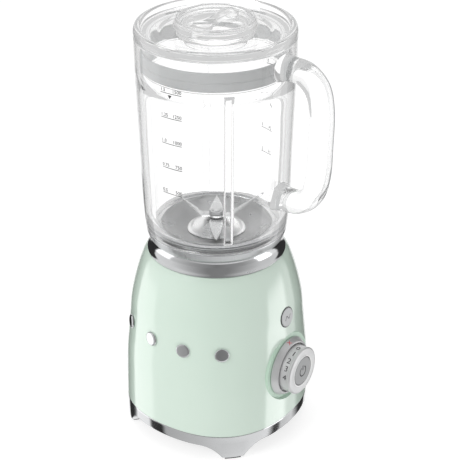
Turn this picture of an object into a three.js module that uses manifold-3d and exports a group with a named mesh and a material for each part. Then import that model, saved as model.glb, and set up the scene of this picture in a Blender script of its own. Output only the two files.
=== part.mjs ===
// Countertop jug blender: motor base with a rounded-square footprint, lift-off jug with a
// fused handle, plug-in lid, measuring cap, speed dial and sprung buttons. Millimetres, +Z up.
// The front, with its row of trim studs, faces -Y. The dial and the jug's handle face +X.

import * as THREE from 'three';
import * as BufferGeometryUtils from 'three/addons/utils/BufferGeometryUtils.js';
import Module from 'manifold-3d';

const wasm = await Module();
wasm.setup();

// ---- driving dimensions ----------------------------------------------------------------

const HEIGHT = 397; // table to the top of the measuring cap
const BASE_R = 83.5; // mean radius of the base at its widest
const HANDLE_REACH = 116; // outermost face of the handle from the jug's axis
const GAP = 0.3; // assembly gap between pieces that rest on each other
const SQUARENESS_LOW = 0.0242; // how far the footprint departs from a circle at the bottom
const SQUARENESS_HIGH = 0.004; // and at the top of the base

const WALL = 2.6; // base housing wall
const FOOT_Z = 2; // underside of the metal feet
const SKIRT_EDGE_Z = 14.3; // underside of the skirt between the feet
const SKIRT_TOP_Z = 26;
const SHELL_TOP_Z = 179.6;
const COVER_Z = 15.2; // underside of the bottom cover
const DIAL_Z = 77.5;
const PULSE_Z = 128.6;
const PULSE_R = 8.7;
const STUD_Z = 111.8; // row of trim studs on the front
const STUD_SPREAD = THREE.MathUtils.degToRad(25.5); // angle between neighbouring studs
const STUD_R = 6.6;
const COLLAR_TOP_Z = 193.3;
const JUG_FOOT_Z = 193.6; // where the jug's base ring rests on the collar
const RING_TOP_Z = 202.6; // top of the jug's base ring
const VESSEL_Z = RING_TOP_Z + GAP; // underside of the clear jug's wall
const LID_Z = 382.8; // underside of the lid's rim
const BLADE_TURN = THREE.MathUtils.degToRad(-55.3); // how the blades stand at rest
const SHAFT_R = 4;
const BORE_R = 4.35; // running bore around the shaft

const RING = 32; // facets round the large pieces
const SKIRT_FACETS = 80; // enough to draw the feet
const ROUND = 24; // facets round the middle-sized pieces
const SMALL = 12; // facets round pins and screws

// ---- materials --------------------------------------------------------------------------

const finish = (color, roughness, metalness, opacity = 1) =>
  new THREE.MeshStandardMaterial({ color, roughness, metalness, opacity, transparent: opacity < 1 });

const enamel = finish(0xd2e6d6, 0.25, 0.1);
const chrome = finish(0xd9dadb, 0.08, 1);
const satin = finish(0xc6c7c8, 0.35, 1);
const steel = finish(0xb9bbbd, 0.3, 1);
const copper = finish(0xb06a3c, 0.4, 0.9);
const clear = finish(0xeff3f3, 0.04, 0, 0.35);
const silicone = finish(0xb4b6b6, 0.7, 0);
const greyPlastic = finish(0xa9abac, 0.45, 0);
const darkPlastic = finish(0x2b2c2d, 0.5, 0);
const rubber = finish(0x232323, 0.85, 0);
const board = finish(0x2f6b45, 0.6, 0);

// ---- geometry helpers -------------------------------------------------------------------

// Merges shared corners, drops collapsed triangles and turns every face outwards.
function closed(source) {
  const bare = new THREE.BufferGeometry();
  bare.setAttribute('position', source.getAttribute('position').clone());
  if (source.index) bare.setIndex(source.index.clone());
  const merged = BufferGeometryUtils.mergeVertices(bare, 1e-4);
  const corners = merged.index.array;
  const kept = [];
  for (let i = 0; i < corners.length; i += 3) {
    const [a, b, c] = [corners[i], corners[i + 1], corners[i + 2]];
    if (a !== b && b !== c && c !== a) kept.push(a, b, c);
  }
  merged.setIndex(signedVolume(merged, kept) < 0 ? kept.reverse() : kept);
  return merged;
}

function signedVolume(geometry, corners) {
  const at = (i) => new THREE.Vector3().fromBufferAttribute(geometry.getAttribute('position'), i);
  let sum = 0;
  for (let i = 0; i < corners.length; i += 3) {
    sum += at(corners[i]).dot(at(corners[i + 1]).cross(at(corners[i + 2])));
  }
  return sum;
}

function toSolid(geometry) {
  const merged = closed(geometry);
  return new wasm.Manifold(new wasm.Mesh({
    numProp: 3,
    vertProperties: new Float32Array(merged.getAttribute('position').array),
    triVerts: new Uint32Array(merged.index.array),
  }));
}

function fromSolid(solid) {
  const mesh = solid.getMesh();
  const geometry = new THREE.BufferGeometry();
  geometry.setAttribute('position', new THREE.BufferAttribute(new Float32Array(mesh.vertProperties), 3));
  geometry.setIndex(new THREE.BufferAttribute(new Uint32Array(mesh.triVerts), 1));
  return geometry;
}

const cut = (geometry, ...tools) =>
  fromSolid(tools.reduce((solid, tool) => solid.subtract(toSolid(tool)), toSolid(geometry)));

const join = (geometry, ...extras) =>
  fromSolid(extras.reduce((solid, extra) => solid.add(toSolid(extra)), toSolid(geometry)));

// Turns [radius, height] points about Z. The profile starts and ends on the axis, or is
// closed here into a ring.
function turned(profile, segments = ROUND) {
  const points = profile.map(([r, z]) => new THREE.Vector2(r, z));
  const onAxis = profile[0][0] === 0 && profile.at(-1)[0] === 0;
  if (!onAxis) points.push(points[0].clone());
  return closed(new THREE.LatheGeometry(points, segments).rotateX(Math.PI / 2));
}

const tubeRing = (inner, outer, low, high, segments = ROUND) =>
  turned([[inner, low], [outer, low], [outer, high], [inner, high]], segments);

const rod = (radius, low, high, segments = SMALL) =>
  turned([[0, low], [radius, low], [radius, high], [0, high]], segments);

// Extrudes a flat outline upwards from the height low to the height high.
const plate = (shape, low, high, curveSegments = 6) =>
  closed(new THREE.ExtrudeGeometry(shape, { depth: high - low, bevelEnabled: false, curveSegments })
    .translate(0, 0, low));

const block = (x, y, z) => new THREE.BoxGeometry(x, y, z);

const around = (count, offset, make) =>
  Array.from({ length: count }, (_, i) => make(offset + (i * 2 * Math.PI) / count, i));

function slot(x, y, halfLength, halfWidth, angle = 0) {
  const path = new THREE.Path();
  const [cos, sin] = [Math.cos(angle), Math.sin(angle)];
  path.absarc(x + halfLength * cos, y + halfLength * sin, halfWidth, angle - Math.PI / 2, angle + Math.PI / 2);
  path.absarc(x - halfLength * cos, y - halfLength * sin, halfWidth, angle + Math.PI / 2, angle + 1.5 * Math.PI);
  path.closePath();
  return path;
}

function circlePath(x, y, radius) {
  const path = new THREE.Path();
  path.absarc(x, y, radius, 0, 2 * Math.PI);
  return path;
}

// ---- the rounded-square plan of the base ---------------------------------------------------

const squareness = (z) =>
  SQUARENESS_HIGH + (SQUARENESS_LOW - SQUARENESS_HIGH) * (1 - Math.min(1, z / SHELL_TOP_Z) ** 2);

const planFactor = (angle, z) => 1 - squareness(z) * Math.cos(4 * angle);

// Moves each corner of a turned piece outwards or inwards to follow the rounded square.
function squareOff(geometry) {
  const position = geometry.getAttribute('position');
  for (let i = 0; i < position.count; i++) {
    const [x, y, z] = [position.getX(i), position.getY(i), position.getZ(i)];
    const factor = planFactor(Math.atan2(y, x), z);
    position.setXY(i, x * factor, y * factor);
  }
  return geometry;
}

// Outer face of the base, mean radius against height.
const BASE_OUTLINE = [
  [BASE_R, SKIRT_TOP_Z + GAP],
  [83.2, 50],
  [82.4, 76],
  [80.8, 95],
  [79.2, 114],
  [77.8, 130],
  [75.6, 142],
  [72.5, 155],
  [69, 166.5],
  [65.6, 175],
  [62.9, 179.2],
  [62.2, SHELL_TOP_Z],
];

function baseRadius(z) {
  const above = BASE_OUTLINE.findIndex(([, level]) => level >= z);
  const [r1, z1] = BASE_OUTLINE[above];
  const [r0, z0] = BASE_OUTLINE[above - 1];
  return r0 + ((r1 - r0) * (z - z0)) / (z1 - z0);
}

// ---- base housing ---------------------------------------------------------------------------

const DECK_HOLE_R = 50;
const DIAL_HOLE_R = 22;
const POST_R = 5;
const POST_AT = 74.5; // screw post centres from the axis, on the diagonals

const SEAT_X = 78.2; // flat seat under the dial's bezel
const SEAT_R = 28.6;

// The seat stands out of the curved wall at its sides and is sunk into it below.
function dialSeat() {
  const disc = tubeRing(DIAL_HOLE_R, SEAT_R + 3.2, SEAT_X - 3.8, SEAT_X, ROUND);
  const web = block(5, 38, 12).translate(77, 0, DIAL_Z - 28.5);
  return join(disc.rotateY(Math.PI / 2).translate(0, 0, DIAL_Z), web);
}

function screwPost(angle) {
  const post = rod(POST_R, 18.4, 40, 8).translate(POST_AT, 0, 0);
  const web = block(6.6, 3, 12).translate(POST_AT + 6.4, 0, 34);
  return join(post, web).rotateZ(angle);
}

const screwPilot = (angle) => rod(1.7, 15, 34, 6).translate(POST_AT, 0, 0).rotateZ(angle);

// A frame standing on the base's outer face, its Z axis along the face's outward normal.
function faceFrame(angle, z) {
  const frame = new THREE.Group();
  const radius = baseRadius(z) * planFactor(angle, z);
  const lean = Math.atan2(baseRadius(z - 6) - baseRadius(z + 6), 12);
  frame.position.set(radius * Math.cos(angle), radius * Math.sin(angle), z);
  frame.rotation.set(0, Math.PI / 2 - lean, angle, 'ZYX');
  frame.updateMatrix();
  return frame;
}

function bodyShell() {
  const inner = BASE_OUTLINE.filter(([, z], i) => i % 3 === 0 && z < 160)
    .map(([r, z]) => [r - WALL, z])
    .reverse();
  const deck = [[DECK_HOLE_R, SHELL_TOP_Z], [DECK_HOLE_R, 176.6], [61.4, 176.6], [64.6, 171]];
  const shell = squareOff(turned([...BASE_OUTLINE, ...deck, ...inner], RING));
  const dialHole = rod(DIAL_HOLE_R, 60, 95, ROUND).rotateY(Math.PI / 2).translate(0, 0, DIAL_Z);
  const recess = rod(SEAT_R, SEAT_X, 95, ROUND).rotateY(Math.PI / 2).translate(0, 0, DIAL_Z);
  const pulseHole = rod(PULSE_R + 0.5, -9, 6, ROUND).applyMatrix4(faceFrame(0, PULSE_Z).matrix);
  const posts = around(4, Math.PI / 4, screwPost);
  const pilots = around(4, Math.PI / 4, screwPilot);
  return cut(join(shell, dialSeat(), ...posts), recess, dialHole, pulseHole, ...pilots);
}

// ---- chrome skirt with its four feet --------------------------------------------------------

const FOOT_HALF_ANGLE = 0.118; // flat of a foot, radians either side of its diagonal
const FOOT_FLARE = 0.27; // angle over which a foot runs out into the skirt
const FOOT_INNER_R = 69;

// 1 on the flat of a foot, falling in a hollow curve to 0 where the skirt runs level.
function footShare(angle) {
  const quarter = Math.PI / 2;
  const wrapped = (((angle % quarter) + quarter) % quarter) - quarter / 2;
  const run = Math.max(0, Math.abs(wrapped) - FOOT_HALF_ANGLE) / FOOT_FLARE;
  return run >= 1 ? 0 : (1 - run) ** 2.4;
}

function baseSkirt() {
  const profile = [
    [79.9, SKIRT_EDGE_Z],
    [82.8, SKIRT_EDGE_Z],
    [BASE_R, SKIRT_TOP_Z],
    [BASE_R - 3, SKIRT_TOP_Z],
    [80, SKIRT_EDGE_Z + 0.5],
  ];
  const ring = squareOff(turned(profile, SKIRT_FACETS));
  const position = ring.getAttribute('position');
  for (let i = 0; i < position.count; i++) {
    const [x, y, z] = [position.getX(i), position.getY(i), position.getZ(i)];
    if (z > SKIRT_EDGE_Z + 0.01) continue;
    const share = footShare(Math.atan2(y, x));
    const radius = Math.hypot(x, y);
    const inside = radius < 81.2 * planFactor(Math.atan2(y, x), z);
    const target = inside ? radius + (FOOT_INNER_R - radius) * share : radius;
    position.setXYZ(i, (x * target) / radius, (y * target) / radius, z - (SKIRT_EDGE_Z - FOOT_Z) * share);
  }
  return closed(ring);
}

function rubberFoot(angle) {
  const outline = new THREE.Shape();
  outline.moveTo(71, -7.4);
  outline.lineTo(81.8, -7.4);
  outline.absarc(0, 0, 82.6, -0.09, 0.09);
  outline.lineTo(71, 7.4);
  outline.closePath();
  return plate(outline, 0, FOOT_Z - GAP).rotateZ(angle);
}

// ---- bottom cover, its screws and the cord gland --------------------------------------------

function bottomCover() {
  const outline = new THREE.Shape();
  for (let i = 0; i < RING; i++) {
    const angle = (i * 2 * Math.PI) / RING;
    const radius = 79.4 * planFactor(angle, COVER_Z);
    outline[i ? 'lineTo' : 'moveTo'](radius * Math.cos(angle), radius * Math.sin(angle));
  }
  outline.closePath();
  const vents = [-22, -11, 0, 11, 22].map((x) => slot(x, -22, 14, 2.2, Math.PI / 2));
  const holes = around(4, Math.PI / 4, (a) => circlePath(POST_AT * Math.cos(a), POST_AT * Math.sin(a), 2));
  outline.holes.push(...vents, ...holes);
  return plate(outline, COVER_Z, COVER_Z + 2.6, 3);
}

const coverScrew = (angle) => {
  const [head, low, high] = [3.4, COVER_Z - 2.4, COVER_Z - GAP];
  const profile = [[0, low], [head - 1, low], [head, low + 1], [head, high], [1.35, high], [1.35, 31], [0, 32.4]];
  return turned(profile, SMALL).translate(POST_AT, 0, 0).rotateZ(angle);
};

// Cord outlet under the rear edge: a flanged tube pointing backwards.
function cordGland() {
  const tube = tubeRing(3.6, 5.4, 60, 74, SMALL);
  const flange = tubeRing(3.6, 6.6, 60, 62.5, SMALL);
  return join(tube, flange).rotateX(-Math.PI / 2).translate(0, 0, COVER_Z - GAP - 6.9);
}

// ---- top of the base -------------------------------------------------------------------------

const topCollar = () => turned([
  [55.8, SHELL_TOP_Z + GAP],
  [62.5, SHELL_TOP_Z + GAP],
  [59.9, 182.8],
  [58.3, 186],
  [57.7, 189.5],
  [58, COLLAR_TOP_Z],
  [55.8, COLLAR_TOP_Z],
], RING);

const SEAT_HOLE_R = 16;

const jugSeat = () => turned([
  [SEAT_HOLE_R, SHELL_TOP_Z + GAP],
  [55.3, SHELL_TOP_Z + GAP],
  [55.3, 182.4],
  [SEAT_HOLE_R + 3, 182.4],
  [SEAT_HOLE_R + 2, 184],
  [SEAT_HOLE_R, 184],
], RING);

// ---- motor -----------------------------------------------------------------------------------

const HOUSING_R = 46;
const HOUSING_WALL = 3.4;
const BEARING_R = 11;

const motorHousing = () => turned([
  [HOUSING_R - HOUSING_WALL, 34],
  [HOUSING_R, 34],
  [HOUSING_R, 170],
  [58, 173.4],
  [58, 176.3],
  [HOUSING_R - HOUSING_WALL, 176.3],
  [HOUSING_R - HOUSING_WALL, 137],
  [BEARING_R + GAP, 137],
  [BEARING_R + GAP, 127],
  [14.5, 127],
  [14.5, 133],
  [HOUSING_R - HOUSING_WALL, 133],
], ROUND);

function motorEndCap() {
  const bell = turned([
    [BEARING_R + GAP, 34],
    [HOUSING_R - HOUSING_WALL - GAP, 34],
    [HOUSING_R - HOUSING_WALL - GAP, 37],
    [14.5, 37],
    [14.5, 43],
    [BEARING_R + GAP, 43],
  ]);
  const vents = around(6, 0, (angle) => plate(new THREE.Shape().setFromPoints([
    new THREE.Vector2(20, -3),
    new THREE.Vector2(36, -6),
    new THREE.Vector2(36, 6),
    new THREE.Vector2(20, 3),
  ]), 30, 40).rotateZ(angle));
  return cut(bell, ...vents);
}

const bearing = (low) => tubeRing(BORE_R, BEARING_R, low, low + 7, ROUND);

const motorStator = () => tubeRing(27, HOUSING_R - HOUSING_WALL - GAP * 1.6, 68, 112);

const motorRotor = () => turned([
  [BORE_R, 62], [14, 62], [26, 70], [26, 110], [14, 118], [BORE_R, 118],
]);

const motorShaft = () => rod(SHAFT_R, 33, 190, ROUND);

function coolingFan() {
  const hub = tubeRing(BORE_R, 9, 46.5, 56, SMALL);
  const disc = tubeRing(BORE_R, 36, 54, 56, ROUND);
  const blades = around(8, 0, (angle) => block(26, 1.8, 7.2).translate(21.5, 0, 50.6).rotateZ(angle));
  return join(hub, disc, ...blades);
}

// A star with rounded-off points, shared by both halves of the coupling.
function starShape(tip, root, points = 6) {
  const corners = [];
  for (let i = 0; i < points; i++) {
    const centre = (i * 2 * Math.PI) / points;
    for (const [turn, radius] of [[-0.38, root], [-0.14, tip], [0.14, tip], [0.38, root]]) {
      corners.push(new THREE.Vector2(radius * Math.cos(centre + turn), radius * Math.sin(centre + turn)));
    }
  }
  return new THREE.Shape(corners);
}

function driveCoupling() {
  const star = starShape(11, 7.6);
  star.holes.push(circlePath(0, 0, BORE_R));
  return plate(star, 177.4, 192.4, 12);
}

const drivenCoupling = () =>
  cut(rod(15.2, 185, 196.6, ROUND), plate(starShape(11.8, 8.4), 180, 193.2));

// ---- controls --------------------------------------------------------------------------------

const towardsDial = (geometry) => geometry.rotateY(Math.PI / 2).translate(0, 0, DIAL_Z);

const dialBezel = () => towardsDial(turned([
  [20.2, 73.8], [21.6, 73.8], [21.6, 78.5], [28.1, 78.5], [28, 79.5], [24.9, 84.2], [23.6, 84.5],
  [23.6, 80.4], [20.2, 80.4],
]));

const START_R = 13.5;

const dialKnob = () => towardsDial(turned([
  [0, 54.8], [SHAFT_R, 54.8], [SHAFT_R, 80.8], [22.8, 80.8], [21.2, 91.8], [22.5, 92.6], [22.5, 94.2],
  [21.5, 95], [START_R + 1.2, 95], [START_R + 0.5, 94.4], [START_R + 0.5, 88.4], [0, 88.4],
]));

const startButton = () => towardsDial(turned([
  [0, 90.2], [START_R - 0.6, 90.2], [START_R, 90.8], [START_R, 94.8], [START_R - 1, 95.4], [0, 95.4],
]));

function speedSwitch() {
  const outline = new THREE.Shape();
  outline.moveTo(-16, -14);
  outline.lineTo(16, -14);
  outline.lineTo(16, 14);
  outline.lineTo(-16, 14);
  outline.closePath();
  outline.holes.push(circlePath(0, 0, BORE_R + 0.25));
  return towardsDial(plate(outline, 53.3, 67.8, 4));
}

const pulseButton = () => turned([
  [0, -6.4], [PULSE_R + 2, -6.4], [PULSE_R + 2, -4.8], [PULSE_R, -4.8], [PULSE_R, 0.5], [PULSE_R - 0.9, 1.1],
  [0, 1.1],
], 24);

const pulseSwitch = () => block(14, 16, 9).translate(0, 0, -13.5);

const controlBoard = () => block(64, 1.8, 52).translate(0, -64, 62);

const trimStud = () => turned([[0, GAP], [STUD_R, GAP], [STUD_R - 0.5, 1.7], [0, 2.1]], SMALL);

// ---- jug ---------------------------------------------------------------------------------------

const JUG_WALL = 6.4;
const JUG_OUTLINE = [
  [63.1, VESSEL_Z],
  [64.1, 211],
  [65.6, 235],
  [66.6, 276],
  [68.2, 323],
  [69.3, 360],
  [69.6, LID_Z - 0.4],
];

function jugRib(angle) {
  const side = new THREE.Shape();
  side.moveTo(56.6, 212);
  side.lineTo(60.5, 209);
  side.lineTo(63.6, 335);
  side.lineTo(61.8, 340);
  side.lineTo(58.9, 332);
  side.closePath();
  return plate(side, -2.6, 2.6).rotateX(Math.PI / 2).rotateZ(angle);
}

// A tapering tube with a slim rib inside it on each diagonal, and a floor with a round hole.
function jugVessel() {
  const profile = [
    ...JUG_OUTLINE,
    [65, LID_Z - 0.4],
    [64.6, 352],
    [68.2 - JUG_WALL, 341],
    [67.6 - JUG_WALL, 323],
    [66.6 - JUG_WALL, 276],
    [65.6 - JUG_WALL, 235],
    [58, 216],
    [55.4, 208.5],
    [51.2, 205.2],
    [50.6, 203.4],
    [46, 203.4],
    [46, 199.9],
    [58.1, 199.9],
    [58.1, VESSEL_Z],
  ];
  return join(turned(profile, RING), ...around(4, Math.PI / 4, jugRib));
}

const GRIP_X = 20; // grip thickness outwards from the jug
const GRIP_Y = 23;
const HANDLE_TOP_Z = 367;
const HANDLE_LOW_Z = 247.5;

function jugHandle() {
  const outer = HANDLE_REACH - GRIP_X / 2;
  const line = new THREE.CatmullRomCurve3([
    new THREE.Vector3(60, 0, HANDLE_TOP_Z),
    new THREE.Vector3(76, 0, HANDLE_TOP_Z + 0.6),
    new THREE.Vector3(90, 0, HANDLE_TOP_Z - 1),
    new THREE.Vector3(101.5, 0, HANDLE_TOP_Z - 11),
    new THREE.Vector3(outer, 0, HANDLE_TOP_Z - 28),
    new THREE.Vector3(outer, 0, 303),
    new THREE.Vector3(outer - 1.4, 0, 276),
    new THREE.Vector3(98.6, 0, 257),
    new THREE.Vector3(87, 0, HANDLE_LOW_Z + 0.6),
    new THREE.Vector3(74, 0, HANDLE_LOW_Z - 0.6),
    new THREE.Vector3(57, 0, HANDLE_LOW_Z),
  ], false, 'centripetal');
  const section = new THREE.Shape();
  section.absellipse(0, 0, GRIP_Y / 2, GRIP_X / 2, 0, 2 * Math.PI, false, 0);
  const bar = closed(new THREE.ExtrudeGeometry(section, { steps: 24, curveSegments: 6, extrudePath: line }));
  const clearance = turned([[0, 190], ...JUG_OUTLINE.map(([r, z]) => [r + GAP, z]), [0, LID_Z]], RING);
  return cut(bar, clearance);
}

const jugBaseRing = () => turned([
  [49.6, 183.2],
  [55.2, 183.2],
  [55.2, JUG_FOOT_Z],
  [60.2, JUG_FOOT_Z],
  [61.9, 197],
  [63, 201.6],
  [63.1, RING_TOP_Z],
  [58.4, RING_TOP_Z],
  [58.4, 199.6],
  [46.4, 199.6],
  [46.4, 197.4],
  [49.6, 197.4],
], RING);

const carrierSeal = () => tubeRing(46.2, 49.8, 203.6, 204.2, RING);

// The jug's metal floor: a shallow dish that rises to a dome round the blades' bush.
const bladeCarrier = () => turned([
  [9, 198.6],
  [18, 198.6],
  [22, 195.4],
  [43, 197.6],
  [45.6, 198.6],
  [45.6, 204.4],
  [50, 204.4],
  [50, 205.4],
  [46.5, 205.2],
  [27.6, 198.6],
  [25.6, 198.6],
  [21, 202],
  [14, 205.6],
  [10.6, 207],
  [9, 207],
], RING);

const bladeBush = () => tubeRing(BORE_R, 8.7, 197.2, 207.4, ROUND);

// ---- blades ------------------------------------------------------------------------------------

const BLADE_Z = 208.8; // underside of the lower cross
const BLADE_THICK = 1.6;
const NUT_Z = BLADE_Z + 2 * BLADE_THICK + 2 * GAP;

const bladeShaft = () => turned([
  [0, 196.9], [SHAFT_R, 196.9], [SHAFT_R, 207.7], [7.4, 207.7], [7.4, BLADE_Z - GAP],
  [SHAFT_R, BLADE_Z - GAP], [SHAFT_R, 216], [3.2, 216.8], [0, 216.8],
], ROUND);

// One arm of a cross: a flat root, bent at the hub's edge and tapering to its tip.
function bladeArm({ reach, rise, root, tip }, z, angle) {
  const side = new THREE.Shape();
  side.moveTo(0, 0);
  side.lineTo(13, 0);
  side.lineTo(reach, rise);
  side.lineTo(reach - 0.4, rise + BLADE_THICK);
  side.lineTo(12.6, BLADE_THICK);
  side.lineTo(0, BLADE_THICK);
  side.closePath();
  const outline = new THREE.Shape();
  outline.moveTo(-1, -root / 2);
  outline.lineTo(13, -root / 2);
  outline.lineTo(reach + 1, -tip / 2);
  outline.lineTo(reach + 1, tip / 2);
  outline.lineTo(13, root / 2);
  outline.lineTo(-1, root / 2);
  outline.closePath();
  const strip = toSolid(plate(side, -root, root).rotateX(Math.PI / 2));
  return fromSolid(strip.intersect(toSolid(plate(outline, -40, 60)))).translate(0, 0, z).rotateZ(angle);
}

function bladeCross(z, angle, near, far) {
  const arms = [bladeArm(near, z, angle), bladeArm(far, z, angle + Math.PI)];
  const hub = rod(8.4, z, z + BLADE_THICK, ROUND);
  return cut(join(hub, ...arms), rod(BORE_R, z - 2, z + 4, ROUND));
}

const LEVEL_ARM = { reach: 43, rise: -2.2, root: 13, tip: 3 };
const SHORT_RAISED_ARM = { reach: 32, rise: 17, root: 12, tip: 3 };
const LONG_RAISED_ARM = { reach: 42, rise: 21, root: 12, tip: 3 };

const bladeLower = () => bladeCross(BLADE_Z, BLADE_TURN, LEVEL_ARM, LEVEL_ARM);

const bladeUpper = () =>
  bladeCross(BLADE_Z + BLADE_THICK + GAP, BLADE_TURN + Math.PI / 2, LONG_RAISED_ARM, SHORT_RAISED_ARM);

function bladeNut() {
  const hexagon = new THREE.CylinderGeometry(6.6, 6.6, 3, 6).rotateX(Math.PI / 2).translate(0, 0, NUT_Z + 1.5);
  return cut(hexagon, rod(BORE_R, 205, 225, ROUND));
}

// ---- lid and measuring cap ---------------------------------------------------------------------

const NECK_R = 30.8;
const NECK_BORE = 28;
const NECK_TOP_Z = 389;

const lidCover = () => turned([
  [62.4, LID_Z], [69.8, LID_Z], [69.8, 387.6], [68.4, 390.4], [66, 391], [64.2, 389.8], [62.8, 385.4],
  [49, 385], [46, 384.2], [34, 384.2], [NECK_R, 386], [NECK_R, NECK_TOP_Z], [NECK_BORE, NECK_TOP_Z],
  [NECK_BORE, 381], [56, 381], [59.4, 379], [59.4, 353], [62.4, 353],
], RING);

const lidSeal = () => turned([
  [62.7, 355], [63.9, 356.4], [63.9, 362.4], [63.3, 363.4], [63.9, 364.4], [63.9, 371], [62.7, 372.6],
], RING);

const CAP_R = 34.6;

function measuringCap() {
  const cup = turned([
    [27.4, 371], [27.4, NECK_TOP_Z + GAP], [36, NECK_TOP_Z + GAP], [36, 391.4], [CAP_R, 392.6],
    [CAP_R - 0.3, 396], [CAP_R - 1.2, HEIGHT], [31.4, HEIGHT], [30.6, 396], [30.2, 392.4], [0, 392.4],
    [0, 390], [25, 390], [25, 371],
  ], 32);
  const bar = new THREE.Shape();
  bar.absarc(0, 19, 9, -0.6, Math.PI + 0.6);
  bar.quadraticCurveTo(-4.4, 6, -4.4, 0);
  bar.quadraticCurveTo(-4.4, -6, -7.4, -13.9);
  bar.absarc(0, -19, 9, Math.PI - 0.6, 2 * Math.PI + 0.6);
  bar.quadraticCurveTo(4.4, -6, 4.4, 0);
  bar.quadraticCurveTo(4.4, 6, 7.4, 13.9);
  bar.closePath();
  return join(cup, plate(bar, 391.8, HEIGHT - 0.2, 7));
}

// ---- assembly ----------------------------------------------------------------------------------

const blender = new THREE.Group();
// The footprint's middle lies half way between the handle's reach and the base's far face.
const baseReach = BASE_R * planFactor(0, SKIRT_TOP_Z);
blender.position.x = (baseReach - HANDLE_REACH) / 2;

function add(name, geometry, material, parent = blender) {
  const mesh = new THREE.Mesh(closed(geometry), material);
  mesh.name = name;
  parent.add(mesh);
}

add('body_shell', bodyShell(), enamel);
add('base_skirt', baseSkirt(), chrome);
add('bottom_cover', bottomCover(), darkPlastic);
around(4, Math.PI / 4, (angle, i) => {
  add(`rubber_foot_${i + 1}`, rubberFoot(angle), rubber);
  add(`cover_screw_${i + 1}`, coverScrew(angle), steel);
});
add('cord_gland', cordGland(), darkPlastic);
add('top_collar', topCollar(), chrome);
add('jug_seat', jugSeat(), darkPlastic);

add('motor_housing', motorHousing(), greyPlastic);
add('motor_end_cap', motorEndCap(), greyPlastic);
add('motor_stator', motorStator(), steel);
add('bearing_upper', bearing(128), steel);
add('bearing_lower', bearing(35), steel);
add('motor_rotor', motorRotor(), copper);
add('motor_shaft', motorShaft(), steel);
add('cooling_fan', coolingFan(), darkPlastic);
add('drive_coupling', driveCoupling(), darkPlastic);

add('dial_bezel', dialBezel(), chrome);
add('dial_knob', dialKnob(), satin);
add('start_button', startButton(), greyPlastic);
add('speed_switch', speedSwitch(), darkPlastic);
add('control_board', controlBoard(), board);

const pulse = faceFrame(0, PULSE_Z);
blender.add(pulse);
add('pulse_button', pulseButton(), greyPlastic, pulse);
add('pulse_switch', pulseSwitch(), darkPlastic, pulse);

for (let i = 0; i < 4; i++) {
  const seat = faceFrame((i - 1.5) * STUD_SPREAD - Math.PI / 2, STUD_Z);
  blender.add(seat);
  add(`trim_stud_${i + 1}`, trimStud(), chrome, seat);
}

add('jug_vessel', jugVessel(), clear);
add('jug_handle', jugHandle(), clear);
add('jug_base_ring', jugBaseRing(), satin);
add('carrier_seal', carrierSeal(), silicone);
add('blade_carrier', bladeCarrier(), satin);
add('blade_bush', bladeBush(), steel);

add('blade_shaft', bladeShaft(), steel);
add('blade_lower', bladeLower(), steel);
add('blade_upper', bladeUpper(), steel);
add('blade_nut', bladeNut(), steel);
add('driven_coupling', drivenCoupling(), darkPlastic);

add('lid_cover', lidCover(), clear);
add('lid_seal', lidSeal(), silicone);
add('measuring_cap', measuringCap(), clear);

export default blender;
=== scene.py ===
"""Looks of the countertop jug blender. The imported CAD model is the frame: every place and
height comes from it. Shapes are worked out in millimetres and built in metres."""
import math

import bmesh
import bpy
from mathutils import Matrix, Vector


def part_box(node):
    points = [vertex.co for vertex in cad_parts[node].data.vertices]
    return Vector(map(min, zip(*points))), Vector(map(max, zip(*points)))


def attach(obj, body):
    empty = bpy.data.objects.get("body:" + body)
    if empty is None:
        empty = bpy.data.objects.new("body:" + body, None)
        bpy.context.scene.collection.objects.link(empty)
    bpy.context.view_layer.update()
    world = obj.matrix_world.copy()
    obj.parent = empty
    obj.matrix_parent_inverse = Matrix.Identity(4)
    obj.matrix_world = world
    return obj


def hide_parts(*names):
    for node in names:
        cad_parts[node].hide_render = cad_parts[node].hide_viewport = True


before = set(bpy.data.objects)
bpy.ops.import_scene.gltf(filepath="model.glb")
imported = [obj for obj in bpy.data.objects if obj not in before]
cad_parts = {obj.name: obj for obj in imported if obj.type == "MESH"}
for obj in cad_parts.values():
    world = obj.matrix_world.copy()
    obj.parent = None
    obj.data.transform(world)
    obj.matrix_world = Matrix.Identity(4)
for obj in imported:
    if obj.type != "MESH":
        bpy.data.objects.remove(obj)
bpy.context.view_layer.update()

MM = 0.001


def low(node):
    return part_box(node)[0] / MM


def high(node):
    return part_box(node)[1] / MM


# ---- places read from the frame ------------------------------------------------------------------

AXIS_X = (low("lid_cover").x + high("lid_cover").x) / 2  # the jug's axis
UPRIGHT = Matrix.Translation((AXIS_X, 0, 0))
BASE_R = 83.5  # mean radius of the base at its widest
SHELL_LOW = high("base_skirt").z + 0.3
SHELL_TOP = high("body_shell").z
SQUARE_LOW, SQUARE_HIGH = 0.0242, 0.004  # the footprint's departure from a circle
DIAL_Z = (low("dial_bezel").z + high("dial_bezel").z) / 2
TOWARDS_DIAL = Matrix.Translation((AXIS_X, 0, DIAL_Z)) @ Matrix.Rotation(math.pi / 2, 4, "Y")
LID_Z = high("jug_vessel").z + 0.4
JUG_Z = low("jug_base_ring").z
RING_TOP = high("jug_base_ring").z
FLOOR_TOP = high("blade_carrier").z

CAMERA_AZIMUTH = math.radians(34.7)  # from the front towards the dial
CAMERA_ELEVATION = math.radians(28.55)
CAMERA_RIGHT = Vector((math.cos(CAMERA_AZIMUTH), math.sin(CAMERA_AZIMUTH), 0))
CAMERA_NEAR = Vector((math.sin(CAMERA_AZIMUTH), -math.cos(CAMERA_AZIMUTH), 0))


# ---- curves and meshes ---------------------------------------------------------------------------

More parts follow.
